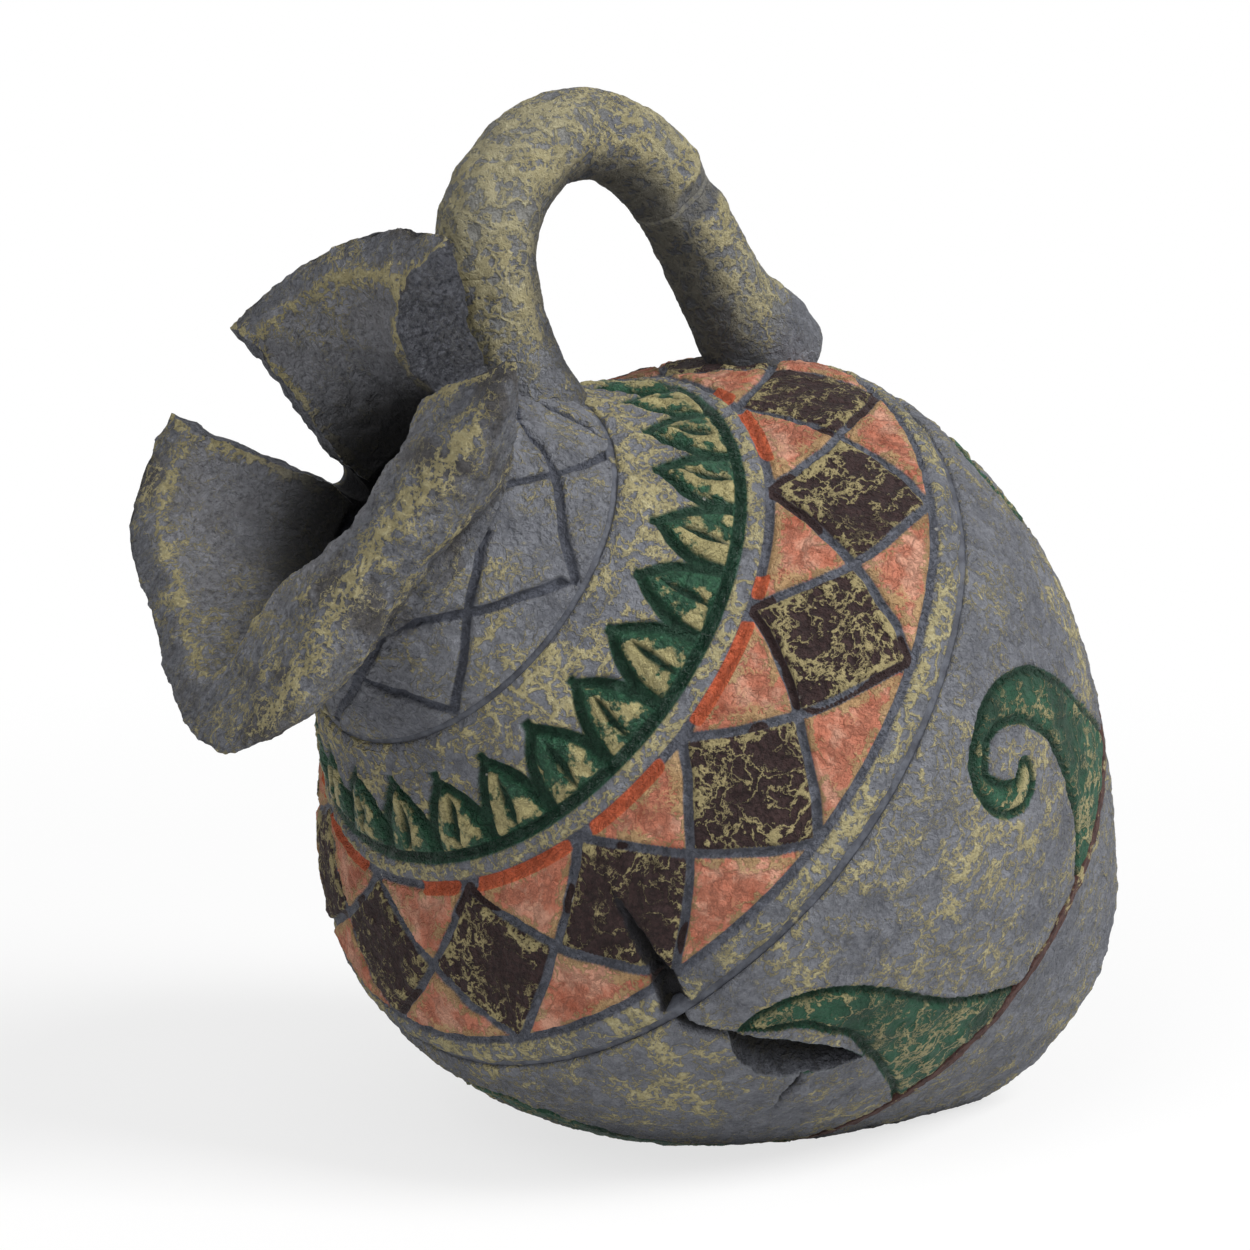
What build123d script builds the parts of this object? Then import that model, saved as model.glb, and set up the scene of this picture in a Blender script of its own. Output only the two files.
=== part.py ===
from build123d import *
import math
import os

os.makedirs("parts", exist_ok=True)

# Pose of the jug: its axis leans back over the floor and the body lies on a worn flat.
AXIS_RISE_ANGLE = 35.4
REST_DEPTH = 3.0

# Body of revolution: levels run along the axis from the body's centre, towards the mouth.
BASE_LEVEL = -73.5
BASE_RADIUS = 28.0
BASE_EDGE = 4.0
FOOT_LEVEL = -41.0
FOOT_RADIUS = 48.2
BELLY_LEVEL = 4.5
BELLY_RADIUS = 61.2
SHOULDER_LEVEL = 15.7
SHOULDER_RADIUS = 58.7
COLLAR_LEVEL = 33.5
COLLAR_RADIUS = 42.9
NECK_LEVEL = 51.6
NECK_RADIUS = 29.6
THROAT_LEVEL = 66.0
THROAT_RADIUS = 23.3
WALL = 6.0
FLOOR = 9.0

# Turned grooves and the slip joints that lie at the bottom of three of them.
GROOVE_WIDTH = 1.6
GROOVE_DEPTH = 0.8
BELLY_JOINT_GAP = 5.0
LEAF_LINE_GAP = 3.2

# Scored ornament: crossing lines that leave lozenges, a ring of pointed leaves, running scrolls.
LOZENGE_COUNT = 13
LOZENGE_ANGLE = -106.5
LEAF_COUNT = 23
LEAF_ANGLE = -127.5
LEAF_LENGTH = 9.0
SCROLL_COUNT = 7
SCROLL_ANGLE = -69.0
SCROLL_LEVEL = -17.0
SCROLL_FOOT_REACH = 13.0
SCROLL_NECK_REACH = 5.4
CURL_RADIUS = 8.8
CURL_SHIFT = 13.5
CURL_RISE = 10.5

# Pinched mouth: angles run round the axis from the handle, the near side being negative.
RIM_LEVEL = 83.0
RIM_TILT_ANGLE = 5.0
RIM_RADIUS = 35.5
LIP_WALL = 4.6
LIP_ROUND = 1.2
FLARE_POWER = 1.4
PINCH_DEPTH = 9.5
PINCH_ANGLE = -107.0
PINCH_SPREAD_ANGLE = 36.0
SPOUT_REACH = 14.0
SPOUT_ANGLE = -161.0
SPOUT_SPREAD_ANGLE = 20.0
SPOUT_FULLNESS = 0.8
NEAR_LOBE_REACH = 4.5
NEAR_LOBE_ANGLE = -65.0
NEAR_LOBE_SPREAD_ANGLE = 18.0
FAR_PINCH_DEPTH = 4.0
FAR_PINCH_ANGLE = 147.0
FAR_PINCH_SPREAD_ANGLE = 20.0

# Broken places: two notches in the mouth and one hole in the belly.
BACK_NOTCH_ANGLE = 75.0
BACK_NOTCH_WIDTH = 16.0
BACK_NOTCH_DROP = 3.5
SIDE_NOTCH_ANGLE = -66.0
SIDE_NOTCH_NEAR = 5.0
SIDE_NOTCH_FAR = 20.0
SIDE_NOTCH_DEPTH = 12.0
HOLE_LEVEL = -9.5
HOLE_ANGLE = -132.0
HOLE_LENGTH = 15.0
HOLE_WIDTH = 6.0

# Handle: one round coil in the plane of the axis, rising from the neck and coming down on the shoulder.
COIL_DIAMETER = 13.2
ARCH_RADIUS = 16.0
ARCH_LEVEL = 59.0
ARCH_OFFSET = 49.5
ARCH_START_ANGLE = -52.0
ARCH_END_ANGLE = 105.0
SPRING_DIAMETER = 15.2
WAIST_DIAMETER = 16.2
WAIST_LENGTH = 12.0
ROOT_DIAMETER = 23.0
ROOT_LENGTH = 22.0
BREAK_DISTANCE = 5.0
MEND_WIDTH = 0.9
MEND_DEPTH = 0.8
FLARE_LENGTH = 12.0
FOOT_DIAMETER = 20.0

lean = math.radians(AXIS_RISE_ANGLE)
centre_height = FOOT_RADIUS * math.cos(lean) - FOOT_LEVEL * math.sin(lean) - REST_DEPTH
row = Plane(
    origin=(0, 0, centre_height),
    x_dir=(math.sin(lean), 0, math.cos(lean)),
    z_dir=(-math.cos(lean), 0, math.sin(lean)),
)
reach = 4 * BELLY_RADIUS
below_floor = Pos(0, 0, -reach / 2) * Box(2 * reach, 2 * reach, reach)
made = {}


# Thrown body
profile = Spline(
    (BASE_RADIUS, 0, BASE_LEVEL),
    (FOOT_RADIUS, 0, FOOT_LEVEL),
    (BELLY_RADIUS, 0, BELLY_LEVEL),
    (SHOULDER_RADIUS, 0, SHOULDER_LEVEL),
    (COLLAR_RADIUS, 0, COLLAR_LEVEL),
    (NECK_RADIUS, 0, NECK_LEVEL),
    (THROAT_RADIUS, 0, THROAT_LEVEL),
    (THROAT_RADIUS, 0, THROAT_LEVEL + WALL),
)


def body_form(depth):
    points = []
    for step in range(13):
        spot = profile.position_at(step / 12)
        along = profile.tangent_at(step / 12)
        points.append((spot.X - depth * along.Z, 0, spot.Z + depth * along.X))
    side = Spline(*points)
    first = side @ 0
    last = side @ 1
    edges = [
        Line((0, 0, first.Z), (first.X, 0, first.Z)),
        side,
        Line((last.X, 0, last.Z), (0, 0, last.Z)),
        Line((0, 0, last.Z), (0, 0, first.Z)),
    ]
    return revolve(make_face(edges), Axis.Z)


def slab(low, high):
    return Pos(0, 0, (low + high) / 2) * Cylinder(reach, high - low)


def share_at(level):
    low = 0.0
    high = 1.0
    for halving in range(40):
        middle = (low + high) / 2
        if (profile @ middle).Z < level:
            low = middle
        else:
            high = middle
    return low


def groove_section(level):
    spot = profile @ share_at(level)
    along = profile % share_at(level)
    outward = Vector(along.Z, 0, -along.X)
    outline = [
        spot - outward * GROOVE_DEPTH - along * (GROOVE_WIDTH / 4),
        spot + outward * GROOVE_DEPTH - along * (GROOVE_WIDTH * 3 / 4),
        spot + outward * GROOVE_DEPTH + along * (GROOVE_WIDTH * 3 / 4),
        spot - outward * GROOVE_DEPTH + along * (GROOVE_WIDTH / 4),
    ]
    return make_face(Polyline(*outline, close=True))


outer = body_form(0)
outer = fillet(outer.edges().group_by(Axis.Z)[0], BASE_EDGE)
inner = body_form(WALL) & slab(BASE_LEVEL + FLOOR, reach)
seam_form = body_form(GROOVE_DEPTH) - inner
shell = outer - inner

belly_joint = SHOULDER_LEVEL - BELLY_JOINT_GAP
half = GROOVE_WIDTH / 2
spans = {
    "base_cup": (BASE_LEVEL - WALL, FOOT_LEVEL - half),
    "belly_barrel": (FOOT_LEVEL + half, belly_joint - half),
    "shoulder_dome": (belly_joint + half, NECK_LEVEL - half),
    "neck_collar": (NECK_LEVEL + half, THROAT_LEVEL),
}
for name, span in spans.items():
    made[name] = shell & slab(*span)
joints = {"foot_slip": FOOT_LEVEL, "belly_slip": belly_joint, "neck_slip": NECK_LEVEL}
for name, level in joints.items():
    made[name] = seam_form & slab(level - half, level + half)

leaf_level = COLLAR_LEVEL + LEAF_LINE_GAP
for level in (SHOULDER_LEVEL, COLLAR_LEVEL, leaf_level):
    made["shoulder_dome"] -= revolve(groove_section(level), Axis.Z)

# Scored ornament, cut to one depth all over: each line stops at the core form
core = body_form(GROOVE_DEPTH)


def on_wall(level, angle):
    return Vector((profile @ share_at(level)).X, 0, level).rotate(Axis.Z, angle)


def wall_normal(level, angle):
    along = profile % share_at(level)
    return Vector(along.Z, 0, -along.X).rotate(Axis.Z, angle)


def scored_line(low, low_angle, high, high_angle):
    first = on_wall(low, low_angle)
    last = on_wall(high, high_angle)
    along = (last - first).normalized()
    aside = wall_normal((low + high) / 2, (low_angle + high_angle) / 2).cross(along)
    blade = Box((last - first).length, GROOVE_WIDTH, BELLY_RADIUS / 2)
    return Plane(origin=(first + last) / 2, x_dir=along, z_dir=along.cross(aside)).location * blade - core


lines = []
step = 360 / LOZENGE_COUNT
for number in range(LOZENGE_COUNT):
    angle = LOZENGE_ANGLE + number * step
    lines.append(scored_line(SHOULDER_LEVEL, angle - step, COLLAR_LEVEL, angle))
    lines.append(scored_line(SHOULDER_LEVEL, angle + step, COLLAR_LEVEL, angle))
step = 360 / LEAF_COUNT
for number in range(LEAF_COUNT):
    angle = LEAF_ANGLE + number * step
    lines.append(scored_line(leaf_level, angle - step / 2, leaf_level + LEAF_LENGTH, angle))
    lines.append(scored_line(leaf_level, angle + step / 2, leaf_level + LEAF_LENGTH, angle))
made["shoulder_dome"] = made["shoulder_dome"].cut(*lines)

scroll_plane = Plane(
    origin=on_wall(SCROLL_LEVEL, SCROLL_ANGLE),
    x_dir=(-math.sin(math.radians(SCROLL_ANGLE)), math.cos(math.radians(SCROLL_ANGLE)), 0),
    z_dir=wall_normal(SCROLL_LEVEL, SCROLL_ANGLE),
)
foot_drop = scroll_plane.to_local_coords(on_wall(FOOT_LEVEL, SCROLL_ANGLE)).Y


def curl_point(angle, share):
    turn = math.radians(angle)
    radius = share * CURL_RADIUS
    return (-CURL_SHIFT + radius * math.cos(turn), CURL_RISE + radius * math.sin(turn))


def scored_curve(points):
    centre = Spline(*points)
    left = []
    right = []
    for number in range(21):
        spot = centre @ (number / 20)
        way = centre % (number / 20)
        aside = Vector(-way.Y, way.X) * (GROOVE_WIDTH / 2)
        left.append(spot + aside)
        right.append(spot - aside)
    edges = [Spline(*left), Line(left[-1], right[-1]), Spline(*reversed(right)), Line(right[0], left[0])]
    strip = scroll_plane * make_face(edges)
    return extrude(strip, BELLY_RADIUS / 4, both=True) - core


outer_edge = [
    (SCROLL_FOOT_REACH, foot_drop),
    (1.5 * SCROLL_NECK_REACH, 0.42 * foot_drop),
    (SCROLL_NECK_REACH, 0),
]
for angle, share in ((8, 1.6), (48, 1.22), (88, 1.02), (130, 0.96), (175, 0.88), (222, 0.92), (270, 1.0)):
    outer_edge.append(curl_point(angle, share))
inner_edge = [
    (-SCROLL_FOOT_REACH, foot_drop),
    (-1.2 * SCROLL_NECK_REACH, 0.35 * foot_drop),
    (-0.92 * SCROLL_NECK_REACH, 0),
]
for angle, share in ((-20, 0.9), (30, 0.62), (83, 0.6), (133, 0.56), (180, 0.4)):
    inner_edge.append(curl_point(angle, share))
scroll = [scored_curve(outer_edge), scored_curve(inner_edge)]
scrolls = []
for number in range(SCROLL_COUNT):
    turn = Rot(0, 0, number * 360 / SCROLL_COUNT)
    scrolls += [turn * line for line in scroll]
made["belly_barrel"] = made["belly_barrel"].cut(*scrolls)


def wedge(angle, outline):
    across = Plane(origin=(0, 0, 0), x_dir=(0, 1, 0), z_dir=(1, 0, 0))
    prism = extrude(across * make_face(Polyline(*outline, close=True)), reach)
    return Rot(0, 0, angle) * prism


hole = [
    (-0.5 * HOLE_WIDTH, HOLE_LEVEL + 0.1 * HOLE_LENGTH),
    (-0.1 * HOLE_WIDTH, HOLE_LEVEL + 0.5 * HOLE_LENGTH),
    (0.4 * HOLE_WIDTH, HOLE_LEVEL + 0.2 * HOLE_LENGTH),
    (0.5 * HOLE_WIDTH, HOLE_LEVEL - 0.5 * HOLE_LENGTH),
    (-0.3 * HOLE_WIDTH, HOLE_LEVEL - 0.4 * HOLE_LENGTH),
]
made["belly_barrel"] -= wedge(HOLE_ANGLE, hole)


# Pinched mouth
def bump(angle, centre, spread, power):
    turn = (angle - centre + 180) % 360 - 180
    return math.exp(-abs(turn / spread) ** power)


def mouth_radius(angle, share):
    lip = RIM_RADIUS
    lip -= PINCH_DEPTH * bump(angle, PINCH_ANGLE, PINCH_SPREAD_ANGLE, 4)
    lip += NEAR_LOBE_REACH * bump(angle, NEAR_LOBE_ANGLE, NEAR_LOBE_SPREAD_ANGLE, 2)
    lip -= FAR_PINCH_DEPTH * bump(angle, FAR_PINCH_ANGLE, FAR_PINCH_SPREAD_ANGLE, 2)
    lip += SPOUT_REACH * bump(angle, SPOUT_ANGLE, SPOUT_SPREAD_ANGLE, 2)
    power = FLARE_POWER - SPOUT_FULLNESS * bump(angle, SPOUT_ANGLE, 2 * SPOUT_SPREAD_ANGLE, 2)
    return THROAT_RADIUS + (lip - THROAT_RADIUS) * share**power


def mouth_section(share, depth):
    tip = math.radians(RIM_TILT_ANGLE * share)
    level = THROAT_LEVEL + (RIM_LEVEL - THROAT_LEVEL) * share
    plane = Plane(
        origin=(0, 0, level),
        x_dir=(math.cos(tip), 0, math.sin(tip)),
        z_dir=(-math.sin(tip), 0, math.cos(tip)),
    )
    points = []
    for step in range(24):
        angle = step * 15.0
        turn = math.radians(angle)
        radius = mouth_radius(angle, share)
        slope = (mouth_radius(angle + 1, share) - mouth_radius(angle - 1, share)) / math.radians(2)
        size = math.hypot(radius, slope)
        x = radius * math.cos(turn) - depth * (radius * math.cos(turn) + slope * math.sin(turn)) / size
        y = radius * math.sin(turn) - depth * (radius * math.sin(turn) - slope * math.cos(turn)) / size
        points.append(plane.from_local_coords((x, y, 0)))
    return Face(Wire([Edge.make_spline(points, periodic=True)]))


shares = (0, 0.35, 0.7, 1)
mouth_outer = loft([mouth_section(share, 0) for share in shares])
mouth_inner = loft([mouth_section(share, WALL + (LIP_WALL - WALL) * share) for share in shares])
mouth = mouth_outer - mouth_inner
mid_level = (THROAT_LEVEL + RIM_LEVEL) / 2
rim_edges = [edge for edge in mouth.edges() if edge.is_closed and edge.center().Z > mid_level]
mouth = chamfer(rim_edges, LIP_ROUND)

high = RIM_LEVEL + RIM_RADIUS
back_notch = [
    (-0.5 * BACK_NOTCH_WIDTH, RIM_LEVEL),
    (0, THROAT_LEVEL - BACK_NOTCH_DROP),
    (0.5 * BACK_NOTCH_WIDTH, RIM_LEVEL),
    (BACK_NOTCH_WIDTH, high),
    (-BACK_NOTCH_WIDTH, high),
]
side_notch = [
    (SIDE_NOTCH_NEAR - SIDE_NOTCH_DEPTH / 2, high),
    (SIDE_NOTCH_NEAR - SIDE_NOTCH_DEPTH / 2, RIM_LEVEL),
    (SIDE_NOTCH_NEAR + SIDE_NOTCH_DEPTH / 2, RIM_LEVEL - SIDE_NOTCH_DEPTH),
    (SIDE_NOTCH_FAR, RIM_LEVEL - SIDE_NOTCH_DEPTH),
    (SIDE_NOTCH_FAR, high),
]
mouth -= wedge(BACK_NOTCH_ANGLE, back_notch)
mouth -= wedge(SIDE_NOTCH_ANGLE, side_notch)
made["neck_collar"] -= wedge(BACK_NOTCH_ANGLE, back_notch)
made["mouth_funnel"] = mouth


# Coil handle, drawn in the plane of the axis: x away from the axis, z along it
def arch_point(angle):
    turn = math.radians(angle)
    return Vector(ARCH_OFFSET + ARCH_RADIUS * math.sin(turn), 0, ARCH_LEVEL + ARCH_RADIUS * math.cos(turn))


def arch_heading(angle):
    turn = math.radians(angle)
    return Vector(math.cos(turn), 0, -math.sin(turn))


def disc(point, heading, diameter):
    return Plane(origin=point, x_dir=(0, 1, 0), z_dir=heading) * Circle(diameter / 2)


start = arch_point(ARCH_START_ANGLE)
start_way = arch_heading(ARCH_START_ANGLE)
end = arch_point(ARCH_END_ANGLE)
end_way = arch_heading(ARCH_END_ANGLE)
solid_body = outer + mouth_outer

made["handle_root"] = loft([
    disc(start - start_way * ROOT_LENGTH, start_way, ROOT_DIAMETER),
    disc(start - start_way * WAIST_LENGTH, start_way, WAIST_DIAMETER),
    disc(start, start_way, SPRING_DIAMETER),
]) - solid_body

sections = []
for number in range(9):
    share = number / 8
    angle = ARCH_START_ANGLE + (ARCH_END_ANGLE - ARCH_START_ANGLE) * share
    taper = max(0, 1 - 2 * share)
    diameter = COIL_DIAMETER + (SPRING_DIAMETER - COIL_DIAMETER) * taper
    sections.append(disc(arch_point(angle), arch_heading(angle), diameter))
break_point = end + end_way * BREAK_DISTANCE
arch = loft(sections)
arch += extrude(disc(end, end_way, COIL_DIAMETER), BREAK_DISTANCE)
made["handle_arch"] = arch - solid_body

made["handle_mend"] = extrude(disc(break_point, end_way, COIL_DIAMETER - 2 * MEND_DEPTH), MEND_WIDTH)

leg_start = break_point + end_way * MEND_WIDTH
short = 0.0
long = (leg_start.Z - BELLY_LEVEL) / -end_way.Z
for halving in range(40):
    middle = (short + long) / 2
    spot = leg_start + end_way * middle
    if spot.X > (profile @ share_at(spot.Z)).X:
        short = middle
    else:
        long = middle
leg_length = short
leg = extrude(disc(leg_start, end_way, COIL_DIAMETER), leg_length - FLARE_LENGTH)
leg += loft([
    disc(leg_start + end_way * (leg_length - FLARE_LENGTH), end_way, COIL_DIAMETER),
    disc(leg_start + end_way * (leg_length + FOOT_DIAMETER / 2), end_way, FOOT_DIAMETER),
])
made["handle_leg"] = leg - solid_body

# Pose, the worn rest flat, and one file for each piece
for name, piece in made.items():
    posed = row.location * piece
    if name in ("base_cup", "foot_slip", "belly_barrel"):
        posed -= below_floor
    posed.label = name
    export_step(posed, f"parts/{name}.step")
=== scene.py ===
import math

import bpy
import numpy as np
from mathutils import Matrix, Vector


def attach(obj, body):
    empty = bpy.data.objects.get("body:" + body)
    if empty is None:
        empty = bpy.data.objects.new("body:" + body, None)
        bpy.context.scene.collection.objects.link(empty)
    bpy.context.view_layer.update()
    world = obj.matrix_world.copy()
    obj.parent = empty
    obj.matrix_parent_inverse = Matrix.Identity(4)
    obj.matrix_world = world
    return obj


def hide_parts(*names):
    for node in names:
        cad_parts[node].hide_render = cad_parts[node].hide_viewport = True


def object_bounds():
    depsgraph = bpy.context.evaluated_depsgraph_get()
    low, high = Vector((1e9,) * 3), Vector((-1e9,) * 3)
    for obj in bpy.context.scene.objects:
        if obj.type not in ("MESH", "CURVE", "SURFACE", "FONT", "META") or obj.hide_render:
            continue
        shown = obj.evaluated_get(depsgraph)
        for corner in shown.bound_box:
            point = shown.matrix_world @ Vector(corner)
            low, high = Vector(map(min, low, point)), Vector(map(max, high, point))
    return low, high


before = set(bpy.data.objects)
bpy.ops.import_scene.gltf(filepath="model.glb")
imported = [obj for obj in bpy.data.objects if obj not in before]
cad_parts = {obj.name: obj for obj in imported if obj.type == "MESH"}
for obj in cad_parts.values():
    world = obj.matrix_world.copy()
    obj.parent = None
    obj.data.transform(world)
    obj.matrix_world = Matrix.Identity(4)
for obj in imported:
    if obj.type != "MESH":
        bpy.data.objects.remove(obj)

cad_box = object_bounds()
for leftover in [o for o in bpy.data.objects if o.type in ("LIGHT", "CAMERA")]:
    bpy.data.objects.remove(leftover)


# ---------------------------------------------------------------- base cup
# The round bottom of the jug, thrown in grey clay and left plain below the brown line.
# It lies on a worn flat, because the jug leans back; ochre dust has been brushed over it.
LEAN = math.radians(35.4)
STATIONS = [
    (28.0, -73.5), (48.2, -41.0), (61.2, 4.5), (58.7, 15.7),
    (42.9, 33.5), (29.6, 51.6), (23.3, 66.0), (23.3, 72.0),
]
FOOT_RADIUS, FOOT_LEVEL = STATIONS[0]
REST_RADIUS, REST_LEVEL = STATIONS[1]
FOOT_ROUND, FOOT_TURN = 4.0, 55
WORN_FLAT = 3.0
CENTRE = Vector((0, 0, REST_RADIUS * math.cos(LEAN) - REST_LEVEL * math.sin(LEAN) - WORN_FLAT))
CUP_TOP = -41.8
WALL = 6.0
SLUMP_DEPTH, SLUMP_ANGLE, SLUMP_RUN, SLUMP_SPREAD = 2.0, 40.0, -2.0, 26.0
MEAN_RELIEF = 0.56
WELD = 0.004
WIDEST, FARTHEST = cad_box[1][1] - 0.0001, cad_box[1][0] - 0.0002
SLATE, DARK_SLATE = (122, 124, 130), (98, 100, 107)
# Painted shade colours: a darker slate for the recesses between the ridges, and a near-black for the inside
# faces of the walls.
RECESS_SHADE, INSIDE_SHADE = (66, 68, 76), (44, 44, 47)
OCHRE, PALE_OCHRE = (166, 155, 110), (184, 174, 132)
DRY, RUBBED = 0.92, 0.06
CLAY_BUMP = 0.0022


def smooth_line(stations, steps):
    """A cubic spline through the stations, eased by the distance between them."""
    knots = np.array(stations, float)
    gaps = np.hypot(*np.diff(knots, axis=0).T)
    count = len(knots)
    system = np.zeros((count, count))
    wanted = np.zeros((count, 2))
    system[0, :2] = 2, 1
    system[-1, -2:] = 1, 2
    wanted[0] = 3 * (knots[1] - knots[0]) / gaps[0]
    wanted[-1] = 3 * (knots[-1] - knots[-2]) / gaps[-1]
    for k in range(1, count - 1):
        system[k, k - 1:k + 2] = gaps[k], 2 * (gaps[k - 1] + gaps[k]), gaps[k - 1]
        before = (knots[k] - knots[k - 1]) / gaps[k - 1]
        after = (knots[k + 1] - knots[k]) / gaps[k]
        wanted[k] = 3 * (gaps[k] * before + gaps[k - 1] * after)
    ways = np.linalg.solve(system, wanted)
    line = []
    for k in range(count - 1):
        for u in np.arange(steps) / steps:
            line.append(
                knots[k] * (1 + 2 * u) * (1 - u) ** 2 + knots[k + 1] * (3 - 2 * u) * u * u
                + gaps[k] * (ways[k] * u * (1 - u) ** 2 - ways[k + 1] * u * u * (1 - u)))
    return np.array(line + [knots[-1]])


side = smooth_line(STATIONS, 40)
foot_edge = [
    (FOOT_RADIUS - FOOT_ROUND + FOOT_ROUND * math.sin(a), FOOT_LEVEL + FOOT_ROUND - FOOT_ROUND * math.cos(a))
    for a in np.radians(np.linspace(0, FOOT_TURN, 12))]
side = np.vstack([[(0.0, FOOT_LEVEL)], foot_edge, side[side[:, 1] > foot_edge[-1][1] + 0.6]])
lengths = np.concatenate([[0.0], np.cumsum(np.hypot(*np.diff(side, axis=0).T))])
lengths -= np.interp(0.0, side[1:, 1], lengths[1:])


def run_at(level):
    """Distance along the outside of the wall from the middle of the belly to a level."""
    return float(np.interp(level, side[1:, 1], lengths[1:]))


def girth_at(run):
    return float(np.interp(run, lengths, side[:, 0]))


def helper_curve(name, points, widths=None):
    curve = bpy.data.curves.new(name, "CURVE")
    curve.dimensions = "3D"
    spline = curve.splines.new("POLY")
    spline.points.add(len(points) - 1)
    for k, point in enumerate(points):
        spline.points[k].co = (*point, 1.0)
        spline.points[k].radius = widths[k] if widths else 1.0
    holder = bpy.data.objects.new(name, curve)
    bpy.context.scene.collection.objects.link(holder)
    return holder


profile = helper_curve("wall_profile", [(r, 0.0, t) for r, t in side])


class Strand:
    """A value on its way through a node tree; sums of strands add the nodes they need."""

    def __init__(self, socket):
        self.socket = socket

    def node(self, kind, settings, values, out=0):
        tree = self.socket.id_data
        made = tree.nodes.new(kind)
        for name, value in settings.items():
            if name == "stops":
                line = made.mapping.curves[0]
                line.points[0].location, line.points[1].location = value[0], value[-1]
                for stop in value[1:-1]:
                    line.points.new(*stop)
                made.mapping.update()
            else:
                setattr(made, name, value)
        for key, value in values.items():
            if isinstance(value, Strand):
                tree.links.new(value.socket, made.inputs[key])
            else:
                made.inputs[key].default_value = value
        return Strand(made.outputs[out]) if made.outputs else made

    def also(self, out):
        return Strand(self.socket.node.outputs[out])

    def maths(self, operation, *terms):
        return self.node("ShaderNodeMath", {"operation": operation}, dict(enumerate(terms)))

    def __add__(self, other):
        return self.maths("ADD", self, other)

    __radd__ = __add__

    def __sub__(self, other):
        return self.maths("SUBTRACT", self, other)

    def __rsub__(self, other):
        return self.maths("SUBTRACT", other, self)

    def __mul__(self, other):
        return self.maths("MULTIPLY", self, other)

    __rmul__ = __mul__

    def __truediv__(self, other):
        return self.maths("DIVIDE", self, other)

    def __rtruediv__(self, other):
        return self.maths("DIVIDE", other, self)

    def __pow__(self, other):
        return self.maths("POWER", self, other)

    def __neg__(self):
        return self.maths("MULTIPLY", self, -1.0)

    def __abs__(self):
        return self.maths("ABSOLUTE", self)

    def least(self, other):
        return self.maths("MINIMUM", self, other)

    def most(self, other):
        return self.maths("MAXIMUM", self, other)

    def clamp(self):
        return self.least(1.0).most(0.0)

    def wrap(self, half):
        return self.maths("WRAP", self, half, -half)

    def bell(self, power=2.0):
        """1 at nought, falling away smoothly on both sides."""
        fall = -(abs(self) ** power)
        return fall.maths("EXPONENT", fall)

    def step(self, start, end):
        """Soft step: 0 at start, 1 at end, whichever way round they are."""
        return self.node(
            "ShaderNodeMapRange", {"interpolation_type": "SMOOTHSTEP"},
            {"Value": self, "From Min": start, "From Max": end, "To Min": 0.0, "To Max": 1.0})

    def position(self):
        return self.node("GeometryNodeInputPosition", {}, {})

    def part(self, axis):
        return self.node("ShaderNodeSeparateXYZ", {}, {0: self}, axis)

    def point(self, x, y, z):
        return self.node("ShaderNodeCombineXYZ", {}, {0: x, 1: y, 2: z})

    def noise(self, scale, detail=2.0, roughness=0.5, distortion=0.0):
        return self.node("ShaderNodeTexNoise", {}, {
            "Vector": self, "Scale": scale, "Detail": detail,
            "Roughness": roughness, "Distortion": distortion})


def start_tree(name, inputs):
    tree = bpy.data.node_groups.new(name, "GeometryNodeTree")
    tree.interface.new_socket("Geometry", in_out="OUTPUT", socket_type="NodeSocketGeometry")
    for label, kind in inputs.items():
        tree.interface.new_socket(label, in_out="INPUT", socket_type="NodeSocket" + kind)
    entry = tree.nodes.new("NodeGroupInput")
    return tree, {label: Strand(entry.outputs[label]) for label in inputs}


def close_tree(tree, shape, material):
    shape = shape.node("GeometryNodeRealizeInstances", {}, {"Geometry": shape})
    shape = shape.node("GeometryNodeSetMaterial", {}, {"Geometry": shape, "Material": material})
    leave = tree.nodes.new("NodeGroupOutput")
    tree.links.new(shape.socket, leave.inputs["Geometry"])


def flat_sheet(columns, rows):
    """The grid that a tree bends into shape: one unit each way, about its own middle."""
    return rows.node("GeometryNodeMeshGrid", {}, {
        "Size X": 1.0, "Size Y": 1.0, "Vertices X": columns + 1, "Vertices Y": rows + 1})


def smoothed(shape):
    return shape.node("GeometryNodeSetShadeSmooth", {}, {"Geometry": shape, "Shade Smooth": True})


def stand_up(shape):
    """From millimetres about the jug's own axis to metres in the leaning jug."""
    return shape.node("GeometryNodeTransform", {}, {
        "Geometry": shape, "Translation": CENTRE / 1000,
        "Rotation": (0.0, LEAN - math.pi / 2, 0.0), "Scale": (0.001, 0.001, 0.001)})


def keep(shape, **marks):
    """Store marks on the points, for the material to read."""
    for name, value in marks.items():
        shape = shape.node("GeometryNodeStoreNamedAttribute", {"data_type": "FLOAT", "domain": "POINT"},
                           {"Geometry": shape, "Name": name, "Value": value})
    return shape


def moved(shape, position):
    return shape.node("GeometryNodeSetPosition", {}, {"Geometry": shape, "Position": position})


def welded(shape):
    return shape.node("GeometryNodeMergeByDistance", {}, {"Geometry": shape, "Distance": WELD})


def hand_relief(place):
    """The small ridges and hollows that fingers leave in the clay."""
    return place.noise(0.3, 3.0, 0.6)


def break_out(shape, chunk):
    """Knock a chunk out of a closed wall; the edge of the break stays sharp."""
    shape = shape.node("GeometryNodeMeshBoolean", {"operation": "DIFFERENCE", "solver": "MANIFOLD"},
                       {"Mesh 1": shape, "Mesh 2": chunk})
    return shape.node("GeometryNodeSetShadeSmooth", {"domain": "EDGE"}, {
        "Geometry": shape, "Selection": shape.also("Intersecting Edges"), "Shade Smooth": False})


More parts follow.
